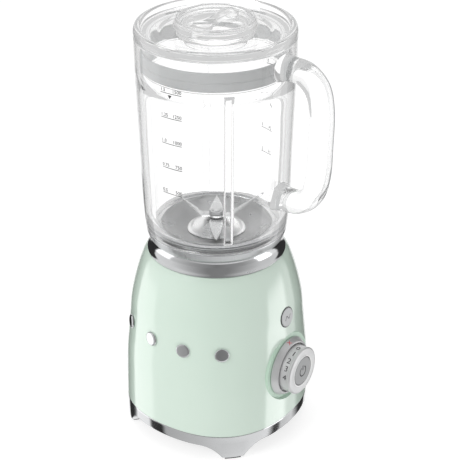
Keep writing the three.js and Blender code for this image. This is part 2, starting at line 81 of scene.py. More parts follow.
def flow(points, parts=6):
    """A smooth curve through the points (centripetal Catmull-Rom)."""
    knots = [Vector(p) for p in points]
    knots = [2 * knots[0] - knots[1], *knots, 2 * knots[-1] - knots[-2]]
    made = []
    for i in range(1, len(knots) - 2):
        p0, p1, p2, p3 = knots[i - 1 : i + 3]
        t1 = (p1 - p0).length ** 0.5
        t2 = t1 + (p2 - p1).length ** 0.5
        t3 = t2 + (p3 - p2).length ** 0.5
        for k in range(parts):
            t = t1 + (t2 - t1) * k / parts
            a1 = p0 * ((t1 - t) / t1) + p1 * (t / t1)
            a2 = p1 * ((t2 - t) / (t2 - t1)) + p2 * ((t - t1) / (t2 - t1))
            a3 = p2 * ((t3 - t) / (t3 - t2)) + p3 * ((t - t2) / (t3 - t2))
            b1 = a1 * ((t2 - t) / t2) + a2 * (t / t2)
            b2 = a2 * ((t3 - t) / (t3 - t1)) + a3 * ((t - t1) / (t3 - t1))
            made.append(b1 * ((t2 - t) / (t2 - t1)) + b2 * ((t - t1) / (t2 - t1)))
    made.append(knots[-2])
    return [tuple(p) for p in made]


def rounded(corners, radius, loop=True, parts=4):
    """A polyline with every corner eased into a short curve. A corner is (r, z) or
    (r, z, its own radius)."""
    made = []
    count = len(corners)
    for i, corner in enumerate(corners):
        here = Vector(corner[:2])
        size = corner[2] if len(corner) > 2 else radius
        if (not loop and i in (0, count - 1)) or size == 0:
            made.append(tuple(here))
            continue
        before = Vector(corners[i - 1][:2]) - here
        after = Vector(corners[(i + 1) % count][:2]) - here
        reach = min(size, 0.45 * before.length, 0.45 * after.length)
        start, end = here + before.normalized() * reach, here + after.normalized() * reach
        for k in range(parts + 1):
            t = k / parts
            made.append(tuple(start * (1 - t) ** 2 + here * 2 * t * (1 - t) + end * t * t))
    return made


def lifted(profile, z):
    """The profile's heights counted from z."""
    return [(p[0], z + p[1], *p[2:]) for p in profile]


def even_angles(steps):
    return [2 * math.pi * i / steps for i in range(steps)]


def turn(profile, angles=None, shape=None, loop=True):
    """Points and faces of an (r, z) profile turned about Z. shape(angle, r, z) moves a point."""
    angles = angles or even_angles(160)
    points, faces = [], []
    for angle in angles:
        for r, z in profile:
            if shape:
                r, z = shape(angle, r, z)
            points.append((r * math.cos(angle), r * math.sin(angle), z))
    rows, count = len(angles), len(profile)
    for i in range(rows):
        j = (i + 1) % rows
        for k in range(count if loop else count - 1):
            m = (k + 1) % count
            faces.append((i * count + k, j * count + k, j * count + m, i * count + m))
    return points, faces


def sweep(sections):
    """Points and faces of a tube through closed sections, with a cap at each end."""
    count = len(sections[0])
    points = [p for section in sections for p in section]
    faces = [tuple(reversed(range(count)))]
    for i in range(len(sections) - 1):
        for k in range(count):
            m = (k + 1) % count
            faces.append((i * count + k, i * count + m, (i + 1) * count + m, (i + 1) * count + k))
    faces.append(tuple(len(points) - count + k for k in range(count)))
    return points, faces


def extruded(outline, bottom, top):
    """A flat outline of (x, y) points made into a solid plate."""
    return sweep([[(x, y, bottom) for x, y in outline], [(x, y, top) for x, y in outline]])


def gathered(parts):
    """Several (points, faces) as one."""
    points, faces = [], []
    for more_points, more_faces in parts:
        start = len(points)
        points += list(more_points)
        faces += [tuple(start + k for k in face) for face in more_faces]
    return points, faces


def settle(mesh, sharp):
    """Merges shared corners, turns faces outwards and shades smoothly between sharp edges."""
    bm = bmesh.new()
    bm.from_mesh(mesh)
    bmesh.ops.remove_doubles(bm, verts=bm.verts, dist=2e-6)
    bmesh.ops.recalc_face_normals(bm, faces=bm.faces)
    bm.to_mesh(mesh)
    bm.free()
    mesh.shade_smooth()
    mesh.set_sharp_from_angle(angle=math.radians(sharp))


def shape_object(name, shape, place=UPRIGHT, sharp=40):
    points, faces = shape
    mesh = bpy.data.meshes.new(name)
    mesh.from_pydata([(place @ Vector(p)) * MM for p in points], [], faces)
    settle(mesh, sharp)
    piece = bpy.data.objects.new(name, mesh)
    bpy.context.scene.collection.objects.link(piece)
    return piece


def baked(piece):
    """The piece with its modifiers applied."""
    bpy.context.view_layer.update()
    seen = piece.evaluated_get(bpy.context.evaluated_depsgraph_get())
    mesh = bpy.data.meshes.new_from_object(seen)
    piece.modifiers.clear()
    old, piece.data = piece.data, mesh
    bpy.data.meshes.remove(old)
    mesh.name = piece.name


def combine(piece, tool, operation, sharp=40):
    """Adds the tool to the piece, or cuts it out of the piece."""
    step = piece.modifiers.new("combine", "BOOLEAN")
    step.operation, step.object, step.solver = operation, tool, "EXACT"
    baked(piece)
    bpy.data.objects.remove(tool)
    settle(piece.data, sharp)


def dress(piece, body, material, replaced=()):
    piece.data.materials.clear()
    piece.data.materials.append(material)
    if replaced:
        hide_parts(*replaced)
    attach(piece, body)
    return piece


# ---- materials -----------------------------------------------------------------------------------

def new_material(name):
    material = bpy.data.materials.new(name)
    material.use_nodes = True
    tree = material.node_tree
    return material, tree, tree.nodes["Principled BSDF"]


def pattern(tree, scale, detail=3.0, stretch=(1, 1, 1), kind="ShaderNodeTexNoise"):
    """A noise in the part's own metres, as its output socket."""
    place = tree.nodes.new("ShaderNodeTexCoord")
    mapping = tree.nodes.new("ShaderNodeMapping")
    mapping.inputs["Scale"].default_value = stretch
    noise = tree.nodes.new(kind)
    noise.inputs["Scale"].default_value = scale
    if "Detail" in noise.inputs:
        noise.inputs["Detail"].default_value = detail
    tree.links.new(place.outputs["Object"], mapping.inputs["Vector"])
    tree.links.new(mapping.outputs["Vector"], noise.inputs["Vector"])
    return noise.outputs[0]


def spread(tree, source, lowest, highest, start=0.3, end=0.7):
    """The source's values between start and end, as values between lowest and highest."""
    node = tree.nodes.new("ShaderNodeMapRange")
    for socket, value in zip(("From Min", "From Max", "To Min", "To Max"), (start, end, lowest, highest)):
        node.inputs[socket].default_value = value
    tree.links.new(source, node.inputs["Value"])
    return node.outputs["Result"]


def two_tone(tree, source, first, second, start=0.3, end=0.7):
    ramp = tree.nodes.new("ShaderNodeValToRGB")
    for stop, place, colour in zip(ramp.color_ramp.elements, (start, end), (first, second)):
        stop.position, stop.color = place, (*colour, 1)
    tree.links.new(source, ramp.inputs["Fac"])
    return ramp.outputs["Color"]


def bump(tree, source, strength, distance):
    node = tree.nodes.new("ShaderNodeBump")
    node.inputs["Strength"].default_value = strength
    node.inputs["Distance"].default_value = distance
    tree.links.new(source, node.inputs["Height"])
    return node.outputs["Normal"]


def maths(tree, operation, *values):
    """A math node fed with sockets and plain numbers, as its output socket."""
    node = tree.nodes.new("ShaderNodeMath")
    node.operation = operation
    for socket, value in zip(node.inputs, values):
        if isinstance(value, (int, float)):
            socket.default_value = value
        else:
            tree.links.new(value, socket)
    return node.outputs[0]


def mixed(tree, share, first, second):
    """The first shader where the share is 0, the second where it is 1."""
    mix = tree.nodes.new("ShaderNodeMixShader")
    for socket, source in zip(mix.inputs, (share, first, second)):
        tree.links.new(source, socket)
    return mix.outputs[0]


def finish(name, colours, rough, drift=18, grain=900, relief=(0.1, 0.0001), stretch=(1, 1, 1), **sockets):
    """A material whose colour and roughness drift over the surface, with a fine grain."""
    material, tree, shader = new_material(name)
    slow = pattern(tree, drift, stretch=stretch)
    fine = pattern(tree, grain, detail=2, stretch=stretch)
    tree.links.new(two_tone(tree, slow, *colours), shader.inputs["Base Color"])
    tree.links.new(spread(tree, slow, *rough), shader.inputs["Roughness"])
    tree.links.new(bump(tree, fine, *relief), shader.inputs["Normal"])
    for socket, value in sockets.items():
        shader.inputs[socket.replace("_", " ")].default_value = value
    return material


HIGHLIGHT_SECTOR_TURN = 1.21  # radians: twice the way round to the middle of a painted highlight sector


def spun(name, shaded_tone, highlight_tone):
    """Spun metal with painted highlights: two light and two darker sectors round the axis are painted into
    its colour, in place of the reflections its polish shows.
    """
    material, tree, shader = new_material(name)
    place = tree.nodes.new("ShaderNodeTexCoord")
    apart = tree.nodes.new("ShaderNodeSeparateXYZ")
    tree.links.new(place.outputs["Object"], apart.inputs[0])
    from_axis = maths(tree, "SUBTRACT", apart.outputs["X"], AXIS_X * MM)
    round_by = maths(tree, "ARCTAN2", apart.outputs["Y"], from_axis)
    wave = maths(tree, "COSINE", maths(tree, "MULTIPLY_ADD", round_by, 2, -HIGHLIGHT_SECTOR_TURN))
    share = spread(tree, wave, 0, 1, -0.5, 0.7)
    # painted highlight: the base colour runs from the shaded tone to the highlight tone by the angle round
    # the axis
    tree.links.new(two_tone(tree, share, shaded_tone, highlight_tone, 0.0, 1.0), shader.inputs["Base Color"])
    slow = pattern(tree, 60)
    tree.links.new(spread(tree, slow, 0.24, 0.34), shader.inputs["Roughness"])
    tree.links.new(bump(tree, pattern(tree, 2200, detail=2), 0.1, 0.00006), shader.inputs["Normal"])
    shader.inputs["Metallic"].default_value = 0.8
    return material


def clear_material(name, tint, edge, loss):
    """Clear moulded plastic: a little greyer where it is thick, and greyer where it is seen edge on, a
    painted shade standing in for the dark edges it shows.
    """
    material, tree, shader = new_material(name)
    facing = tree.nodes.new("ShaderNodeLayerWeight")
    facing.inputs["Blend"].default_value = 0.5
    # painted shade: the tint turns to the edge grey where the surface is seen edge on
    painted_edge_shade = two_tone(tree, facing.outputs["Facing"], (tint,) * 3, (edge,) * 3, 0.4, 0.97)
    tree.links.new(painted_edge_shade, shader.inputs["Base Color"])
    slow = pattern(tree, 26, detail=1)
    tree.links.new(spread(tree, slow, 0.0, 0.03), shader.inputs["Roughness"])
    tree.links.new(bump(tree, slow, 0.12, 0.0006), shader.inputs["Normal"])
    shader.inputs["Transmission Weight"].default_value = 1
    shader.inputs["IOR"].default_value = 1.45
    absorb = tree.nodes.new("ShaderNodeVolumeAbsorption")
    absorb.inputs["Color"].default_value = (0.78, 0.8, 0.81, 1)
    absorb.inputs["Density"].default_value = loss
    output = tree.nodes["Material Output"]
    tree.links.new(absorb.outputs[0], output.inputs["Volume"])
    # lamps and soft light pass straight through, so that what is inside stays lit
    path = tree.nodes.new("ShaderNodeLightPath").outputs
    passing = maths(tree, "MAXIMUM", path["Is Shadow Ray"], path["Is Diffuse Ray"])
    gone = tree.nodes.new("ShaderNodeBsdfTransparent")
    surface = mixed(tree, passing, shader.outputs[0], gone.outputs[0])
    # where light has gone to and fro inside for long, the surface glows a pale grey: a painted glow in place
    # of the light those paths would carry
    long_path = maths(tree, "GREATER_THAN", path["Ray Depth"], 8.5)
    long_trapped = maths(tree, "GREATER_THAN", path["Glossy Depth"], 2.5)
    pale = tree.nodes.new("ShaderNodeEmission")
    pale.inputs["Color"].default_value = (0.66, 0.66, 0.66, 1)
    painted_glow_share = maths(tree, "MAXIMUM", long_path, long_trapped)
    tree.links.new(mixed(tree, painted_glow_share, surface, pale.outputs[0]), output.inputs["Surface"])
    return material


ENAMEL = finish(
    "enamel", ((0.67, 0.805, 0.705), (0.7, 0.825, 0.73)), (0.16, 0.24), drift=9, grain=420,
    relief=(0.06, 0.0001), Coat_Weight=1, Coat_Roughness=0.05, Coat_IOR=1.7,
)
# painted shade: a darker, less glossy copy of the enamel, standing in for the shade on the dial's seat ring
SHADED_SEAT_ENAMEL = finish(
    "seat_enamel_painted_shade", ((0.53, 0.72, 0.58), (0.56, 0.745, 0.61)), (0.22, 0.3), drift=9, grain=420,
    relief=(0.06, 0.0001), Coat_Weight=0.6, Coat_Roughness=0.08,
)
CHROME = finish(
    "chrome", ((0.8, 0.81, 0.82), (0.86, 0.87, 0.88)), (0.05, 0.11), drift=30, grain=1500,
    relief=(0.03, 0.00005), Metallic=1,
)
SATIN = finish(
    "satin", ((0.72, 0.73, 0.74), (0.8, 0.81, 0.82)), (0.26, 0.38), drift=60, grain=2600,
    relief=(0.15, 0.00006), stretch=(6, 1, 1), Metallic=1,
)
DIAL_METAL = finish(
    "dial_metal", ((0.66, 0.663, 0.666), (0.72, 0.723, 0.726)), (0.28, 0.36), drift=60, grain=2400,
    relief=(0.1, 0.00006), Metallic=0.5,
)
PAN = finish(
    "pan", ((0.3, 0.303, 0.306), (0.4, 0.403, 0.406)), (0.24, 0.38), drift=45, grain=2200,
    relief=(0.1, 0.00006), Metallic=1,
)
# painted highlights: the dome's colour is lighter in two sectors and darker in two, in place of reflections
DOME_PAINTED_HIGHLIGHTS = spun("dome_painted_highlights", (0.5, 0.505, 0.51), (0.97, 0.97, 0.97))
STEEL = finish(
    "steel", ((0.6, 0.604, 0.608), (0.7, 0.704, 0.708)), (0.16, 0.3), drift=70, grain=1800,
    relief=(0.12, 0.00008), stretch=(1, 1, 8), Metallic=1,
)
COPPER = finish(
    "copper", ((0.58, 0.28, 0.14), (0.68, 0.36, 0.2)), (0.3, 0.45), drift=80, grain=1600, Metallic=1,
)
SILICONE = finish(
    "silicone", ((0.38, 0.388, 0.39), (0.43, 0.438, 0.44)), (0.42, 0.56), drift=14, grain=1100,
    relief=(0.2, 0.00008),
)
GREY = finish(
    "grey_plastic", ((0.56, 0.57, 0.575), (0.61, 0.62, 0.625)), (0.36, 0.48), drift=40, grain=2000,
    relief=(0.2, 0.00006),
)
BUTTON_GREY = finish(
    "button_grey", ((0.36, 0.365, 0.37), (0.41, 0.415, 0.42)), (0.36, 0.48), drift=40, grain=2000,
    relief=(0.2, 0.00006),
)
WHITE = finish(
    "white_ring", ((0.93, 0.93, 0.925), (0.97, 0.97, 0.97)), (0.22, 0.3), drift=50, grain=1500,
    relief=(0.05, 0.00005),
)
DARK = finish(
    "dark_plastic", ((0.028, 0.028, 0.03), (0.045, 0.045, 0.048)), (0.42, 0.56), drift=30, grain=1400,
    relief=(0.3, 0.0001),
)
RUBBER = finish(
    "rubber", ((0.022, 0.022, 0.022), (0.04, 0.04, 0.04)), (0.7, 0.86), drift=50, grain=900,
    relief=(0.4, 0.00015),
)
BOARD = finish(
    "board", ((0.03, 0.16, 0.08), (0.06, 0.24, 0.13)), (0.4, 0.6), drift=220, grain=900,
    relief=(0.3, 0.0001),
)
INK = finish(
    "ink", ((0.05, 0.05, 0.053), (0.08, 0.08, 0.083)), (0.45, 0.6), drift=120, grain=1800,
    relief=(0.1, 0.00003),
)
DIGIT_INK = finish(
    "digit_ink", ((0.015, 0.015, 0.017), (0.035, 0.035, 0.038)), (0.4, 0.55), drift=120, grain=1800,
    relief=(0.1, 0.00003),
)
RED_INK = finish(
    "red_ink", ((0.62, 0.03, 0.06), (0.72, 0.06, 0.09)), (0.35, 0.5), drift=200, grain=1800,
    relief=(0.1, 0.00003),
)
# the edge greys (0.5 and 0.76) are painted shade at the silhouettes
CLEAR_JUG = clear_material("clear_jug", 0.995, 0.5, 4)
CLEAR_LID = clear_material("clear_lid", 0.999, 0.76, 3)


# ---- base ----------------------------------------------------------------------------------------

BASE_OUTLINE = flow([
    (BASE_R, SHELL_LOW), (83.2, 50), (82.4, 76), (80.8, 95), (79.2, 114), (77.8, 130), (75.6, 142),
    (72.5, 155), (69, 166.5), (65.6, 175), (63.2, SHELL_TOP - 0.9),
], 5)


def squareness(z):
    share = 1 - min(1, z / SHELL_TOP) ** 2
    return SQUARE_HIGH + (SQUARE_LOW - SQUARE_HIGH) * share


def plan(angle, z):
    return 1 - squareness(z) * math.cos(4 * angle)


def squared(angle, r, z):
    return r * plan(angle, z), z


def outline_radius(z):
    for (r0, z0), (r1, z1) in zip(BASE_OUTLINE, BASE_OUTLINE[1:]):
        if z <= z1:
            return r0 + (r1 - r0) * (z - z0) / (z1 - z0)
    return BASE_OUTLINE[-1][0]


def skin_x(y, z):
    """How far out the base's skin is on the dial side, at a place (y, z)."""
    x = outline_radius(z)
    for _ in range(4):
        radius = outline_radius(z) * plan(math.atan2(y, x), z)
        x = math.sqrt(radius * radius - y * y)
    return x


def face_frame(angle, z):
    """A frame standing on the base's skin, its Z axis pointing straight out of it."""
    radius = outline_radius(z) * plan(angle, z)
    lean = math.atan2(outline_radius(z - 6) - outline_radius(z + 6), 12)
    place = Matrix.Translation((AXIS_X + radius * math.cos(angle), radius * math.sin(angle), z))
    return place @ Matrix.Rotation(angle, 4, "Z") @ Matrix.Rotation(math.pi / 2 - lean, 4, "Y")


PULSE_Z = 128.6
STUD_Z = 111.8
PULSE_PLACE = face_frame(0, PULSE_Z)
DIAL_HOLE = 32.2  # the dial's seat fills it
PULSE_HOLE = 9.5


def body_shell():
    wall = 2.6
    rim = rounded([
        (63.2, SHELL_TOP - 0.9), (62.4, SHELL_TOP, 0.5), (50, SHELL_TOP, 0.3), (50, SHELL_TOP - 3),
    ], 0.4, loop=False)
    inside = [(r - wall, z) for r, z in reversed(BASE_OUTLINE[::5]) if z < 172]
    profile = [*BASE_OUTLINE[:-1], *rim, (61, SHELL_TOP - 3), *inside]
    piece = shape_object("body_shell_skin", turn(profile, even_angles(256), squared), sharp=30)
    dial_bore = turn([(0, 60), (DIAL_HOLE, 60), (DIAL_HOLE, 95), (0, 95)], even_angles(160), loop=False)
    combine(piece, shape_object("bore", dial_bore, TOWARDS_DIAL), "DIFFERENCE", 30)
    pulse_bore = turn([(0, -9), (PULSE_HOLE, -9), (PULSE_HOLE, 6), (0, 6)], even_angles(96), loop=False)
    combine(piece, shape_object("bore", pulse_bore, PULSE_PLACE), "DIFFERENCE", 30)
    dress(piece, "base", ENAMEL, ["body_shell"])


def dial_boss():
    """The dial's seat: a flat round face let into the skin, with a soft step up or down to it."""
    face_x, flat_r, rim_r = 78.2, 31.8, 32.6

    def shape(angle, r, level):
        y, z = r * math.sin(angle), DIAL_Z - r * math.cos(angle)
        if level > 1:  # the flat face, and what is behind it
            return r, level
        skin = skin_x(y, z) - 0.12
        if level < 0:
            return r, min(skin, face_x) - 2.2
        sink = max(0, skin - face_x)
        start = flat_r - 1.2 * min(1, sink / 2)  # a dish starts further in than a wall
        return start + (rim_r - start) * (r - flat_r) / (rim_r - flat_r), face_x + (skin - face_x) * level

    step = [(flat_r + (rim_r - flat_r) * k / 10, (1 - math.cos(math.pi * k / 10)) / 2) for k in range(1, 11)]
    face = [(22, face_x), (26, face_x), (flat_r - 1.3, face_x)]
    profile = [*face, *step, (rim_r, -1), (flat_r, -1), (22, 75.6)]
    piece = shape_object("dial_boss", turn(profile, even_angles(160), shape), TOWARDS_DIAL, 40)
    # the seat ring is painted darker than the body, as painted shade
    dress(piece, "base", SHADED_SEAT_ENAMEL)


FOOT_HALF, FOOT_FLARE = 0.118, 0.27  # radians: the flat of a foot, and its run out


def foot_share(angle):
    quarter = math.pi / 2
    off = abs(angle % quarter - quarter / 2)
    run = max(0, off - FOOT_HALF) / FOOT_FLARE
    return 0 if run >= 1 else (1 - run) ** 2.4


def skirt():
    top, edge, foot = high("base_skirt").z, 14.3, low("base_skirt").z
    inner_foot = 69

    def shape(angle, r, z):
        share = foot_share(angle)
        drop = (edge - foot) * share
        down = min(1, max(0, (top - 3 - z) / (top - 3 - edge)))
        if r < 81.2:
            r += (inner_foot - r) * share * (1 if z < edge + 0.6 else 0)
        return r * plan(angle, z), z - drop * down

    outer = [(82.8 + 0.7 * k / 7, edge + 0.8 + (top - edge - 1.4) * k / 7) for k in range(8)]
    profile = [
        (80.2, edge), (82, edge), (82.5, edge + 0.2), (82.75, edge + 0.5), *outer,
        (83.5, top - 0.1), (83.4, top), (80.5, top), (80.5, edge + 2), (80.2, edge + 0.5),
    ]
    piece = shape_object("base_skirt_skin", turn(profile, even_angles(720), shape), sharp=38)
    dress(piece, "base", CHROME, ["base_skirt"])


def collar():
    bottom, top = low("top_collar").z, high("top_collar").z
    waist = flow([(61.9, bottom + 1.1), (59.9, bottom + 2.9), (58.3, bottom + 6.1), (57.7, bottom + 9.6),
                  (57.9, top - 0.6)], 6)
    lip = [(62.3, bottom), (62.5, bottom + 0.25), (62.4, bottom + 0.7), (62.1, bottom + 0.9)]
    profile = [(55.8, bottom), *lip, *waist, (57.7, top - 0.15), (57.3, top), (55.8, top)]
    piece = shape_object("top_collar_skin", turn(profile, even_angles(256)), sharp=45)
    dress(piece, "base", CHROME, ["top_collar"])


def jug_seat():
    bottom = low("jug_seat").z
    profile = rounded(lifted([(16, 0), (55.3, 0), (55.3, 2.5), (19, 2.5), (18, 4.1), (16, 4.1)], bottom), 0.5)
    dress(shape_object("jug_seat_skin", turn(profile)), "base", DARK, ["jug_seat"])


def studs():
    spread_angle = math.radians(25.5)
    profile = flow([(6.6, 0.35), (6.55, 0.9), (6.2, 1.5), (5.3, 1.85), (3, 2.02), (0, 2.1)], 4)
    profile = [(0, 0.3), (6.4, 0.3), *profile]
    for i in range(4):
        angle = (i - 1.5) * spread_angle - math.pi / 2
        node = f"trim_stud_{i + 1}"
        shape = turn(profile, even_angles(64), loop=False)
        piece = shape_object(node + "_skin", shape, face_frame(angle, STUD_Z))
        dress(piece, "base", CHROME, [node])


# ---- letters and marks ---------------------------------------------------------------------------

INK_HALF = 0.03  # half the thickness of printed marks
STRIP = 0.6  # letters are cut into strips of this height, so that they follow a curve


def letters(text, size, bold=0.0):
    """Flat letters in millimetres as (points, faces), starting at the origin."""
    curve = bpy.data.curves.new("letters", "FONT")
    curve.body, curve.size, curve.extrude, curve.resolution_u = text, size, INK_HALF, 3
    curve.offset = bold
    holder = bpy.data.objects.new("letters", curve)
    bpy.context.scene.collection.objects.link(holder)
    bpy.context.view_layer.update()
    seen = holder.evaluated_get(bpy.context.evaluated_depsgraph_get())
    mesh = bpy.data.meshes.new_from_object(seen)
    bm = bmesh.new()
    bm.from_mesh(mesh)
    for k in range(1, math.ceil(size / STRIP)):
        cut = [*bm.verts, *bm.edges, *bm.faces]
        bmesh.ops.bisect_plane(bm, geom=cut, plane_co=(0, k * STRIP, 0), plane_no=(0, 1, 0))
    bm.to_mesh(mesh)
    bm.free()
    shape = [tuple(v.co) for v in mesh.vertices], [tuple(p.vertices) for p in mesh.polygons]
    bpy.data.objects.remove(holder)
    bpy.data.meshes.remove(mesh)
    return shape


def width(shape):
    return max(p[0] for p in shape[0])


def moved(shape, x, y):
    return [(p[0] + x, p[1] + y, p[2]) for p in shape[0]], shape[1]


def bar(x0, x1, y, thick):
    """A flat line along X, in short lengths so that it can be wrapped."""
    cells = max(1, round((x1 - x0) / 1.5))
    sections = []
    for k in range(cells + 1):
        x = x0 + (x1 - x0) * k / cells
        sections.append([(x, y - thick / 2, -INK_HALF), (x, y + thick / 2, -INK_HALF),
                         (x, y + thick / 2, INK_HALF), (x, y - thick / 2, INK_HALF)])
    return sweep(sections)


def wrapped(shape, angle, z, radius_at):
    """Flat letters wrapped round Z: X runs round, Y runs up, Z stands out."""
    points = []
    for x, y, out in shape[0]:
        radius = radius_at(z + y) + 0.08 + out
        turned = angle + x / radius_at(z)
        points.append((radius * math.cos(turned), radius * math.sin(turned), z + y))
    return points, shape[1]


# ---- controls ------------------------------------------------------------------------------------

def controls():
    bezel = rounded([(20.2, 73.8), (21.6, 73.8), (21.6, 78.5), (28, 78.5), (28, 79.5), (25.2, 84.1, 0.8),
                     (23.7, 84.4), (23.7, 80.4), (20.2, 80.4)], 0.35)
    piece = shape_object("dial_bezel_skin", turn(bezel), TOWARDS_DIAL, 50)
    dress(piece, "base", DIAL_METAL, ["dial_bezel"])

    barrel = rounded([
        (0, 54.8), (4, 54.8), (4, 80.9), (22.7, 80.9), (21.2, 91.6, 0.3), (22.4, 92.4, 0.5),
        (22.4, 94.0, 0.8), (21.4, 94.9, 0.8), (15.3, 94.9, 0.3), (14.1, 94.3, 0.3), (14.1, 88.5), (0, 88.5),
    ], 0.3, loop=False)
    piece = shape_object("dial_knob_skin", turn(barrel, loop=False), TOWARDS_DIAL, 50)
    dress(piece, "dial", DIAL_METAL, ["dial_knob"])

    ring = rounded([(14, 94.1), (15.1, 94.1), (15.1, 95.15), (14, 95.15)], 0.3)
    dress(shape_object("dial_ring", turn(ring), TOWARDS_DIAL), "dial", WHITE)

    button = rounded([(0, 90.3), (12.8, 90.3), (13.4, 90.9), (13.4, 95.0, 0.6), (12.2, 95.3, 0.6), (0, 95.1)],
                     0.3, loop=False)
    piece = shape_object("start_button_skin", turn(button, loop=False), TOWARDS_DIAL, 50)
    dress(piece, "start", BUTTON_GREY, ["start_button"])

    # painted shade: a dark ring fills the gap round the small button, where shade falls
    shaded_gap = rounded([(8.75, -1.6), (9.6, -1.6), (9.6, 0.05), (8.75, 0.05)], 0.2)
    dress(shape_object("pulse_gap_painted_shade", turn(shaded_gap, even_angles(96)), PULSE_PLACE), "base", DARK)
    button = rounded([(0, -6.4), (10.7, -6.4), (10.7, -4.8), (8.7, -4.8), (8.7, 0.7, 0.5), (7.6, 1.1, 0.6),
                      (0, 1.0)], 0.3, loop=False)
    piece = shape_object("pulse_button_skin", turn(button, even_angles(96), loop=False), PULSE_PLACE, 50)
    dress(piece, "pulse", GREY, ["pulse_button"])


DIGIT_ANGLES = (-3.5, 18.5, 40.5, 60.5, 83)  # degrees round the dial, for 0 to 4


def dial_marks():
    """Digits 0 to 4 round the barrel, upright beside the dial, and the red mark on the bezel."""
    middle = 88.9
    parts = []
    for digit, degrees in enumerate(DIGIT_ANGLES):
        shape = letters(str(digit), 7.2)
        angle = math.pi + math.radians(degrees)
        half = width(shape) / 2
        points = []
        for x, y, out in shape[0]:
            along = middle + (x - half)
            barrel_r = 22.7 - (along - 80.9) * 0.14
            radius = barrel_r + 0.1 + out
            round_by = angle - (y - 2.6) / barrel_r
            points.append((radius * math.cos(round_by), radius * math.sin(round_by), along))
        parts.append((points, shape[1]))
    dress(shape_object("dial_digits", gathered(parts), TOWARDS_DIAL), "dial", DIGIT_INK)

    mark, thick = [], 0.42
    for base in (1.9, -1.9):
        sections = []
        for k in range(5):
            along = 80.2 + 3 * k / 4
            side = base * (1 - 2 * k / 4)
            radius = 28 - (along - 79.5) * 0.61
            corners = []
            for off, out in ((-thick, 0.0), (thick, 0.0), (thick, 0.12), (-thick, 0.12)):
                turned = math.pi + math.radians(5) + (side + off) / radius
                corners.append(((radius + out) * math.cos(turned), (radius + out) * math.sin(turned), along))
            sections.append(corners)
        mark.append(sweep(sections))
    dress(shape_object("dial_mark", gathered(mark), TOWARDS_DIAL), "base", RED_INK)


def arc_strip(radius, thick, start, end, z):
    """A flat curved strip in the XY plane."""
    sections = []
    for k in range(25):
        angle = start + (end - start) * k / 24
        inner, outer = radius - thick / 2, radius + thick / 2
        c, s = math.cos(angle), math.sin(angle)
        sections.append([(inner * c, inner * s, z), (outer * c, outer * s, z),
                         (outer * c, outer * s, z + 0.08), (inner * c, inner * s, z + 0.08)])
    return sweep(sections)


def button_icons():
    """A plain on-off sign on the dial's button and a plain wave on the small one."""
    z = 95.12
    up = math.pi  # the dial frame's X points down
    ring = arc_strip(4.8, 1.2, up + 0.55, up + 2 * math.pi - 0.55, z)
    stem = extruded([(-6.6, -0.6), (-6.6, 0.6), (-1.2, 0.6), (-1.2, -0.6)], z, z + 0.08)
    piece = shape_object("start_icon", gathered([ring, stem]), TOWARDS_DIAL)
    dress(piece, "start", DIGIT_INK)

    wave = []
    for k in range(31):
        y = -4.2 + 8.4 * k / 30
        x = 1.5 * math.sin(y / 4.2 * math.pi * 1.5)
        wave.append([(x - 0.45, y, 1.02), (x + 0.45, y, 1.02), (x + 0.45, y, 1.1), (x - 0.45, y, 1.1)])
    dress(shape_object("pulse_icon", sweep(wave), PULSE_PLACE), "pulse", INK)


# ---- jug -----------------------------------------------------------------------------------------

JUG_OUTLINE = flow([
    (63.1, RING_TOP + 0.3), (64.1, 211), (65.6, 235), (66.6, 276), (68.2, 323), (69.3, 360),
    (69.6, LID_Z - 1.6),
], 6)
RIB_HALF = 3.3
RIB_LINE = [(204, 53), (212, 54), (343, 57), (347, 58.2), (350, 60), (352, 64)]


def between(table, z):
    """The value at z in a list of (z, value)."""
    if z <= table[0][0]:
        return table[0][1]
    for (z0, a), (z1, b) in zip(table, table[1:]):
        if z <= z1:
            return a + (b - a) * (z - z0) / (z1 - z0)
    return table[-1][1]


def jug_radius(z):
    return between([(level, r) for r, level in JUG_OUTLINE], z)


def rib_angles():
    """Even steps, with closer ones across the four ribs."""
    angles = set(round(a, 6) for a in even_angles(200))
    for quarter in range(4):
        middle = math.pi / 4 + quarter * math.pi / 2
        for k in range(-12, 13):
            angles.add(round(middle + k / 12 * 0.075, 6))
    return sorted(angles)


def with_ribs(angle, r, z):
    """Draws the inner wall inwards at each rib."""
    if r > jug_radius(z) - 2.5 or z < RING_TOP + 0.9:
        return r, z
    off = abs(angle % (math.pi / 2) - math.pi / 4) * 60
    run = min(1, max(0, (off - RIB_HALF + 0.9) / 1.8))
    share = 1 - run * run * (3 - 2 * run)
    rib = between(RIB_LINE, z)
    if 211 < z < 352 and rib < r:
        return r + (rib - r) * share, z
    return r, z


def inner_wall():
    wall = flow([
        (65, LID_Z - 1.4), (64.6, 352), (63.4, 346), (61.9, 341), (61.2, 323), (60.2, 276), (59.2, 235),
        (58, 216), (55.6, 209), (51.8, 205.4),
    ], 8)
    return [*wall, (50.6, 204.6), (50.6, 203.4)]


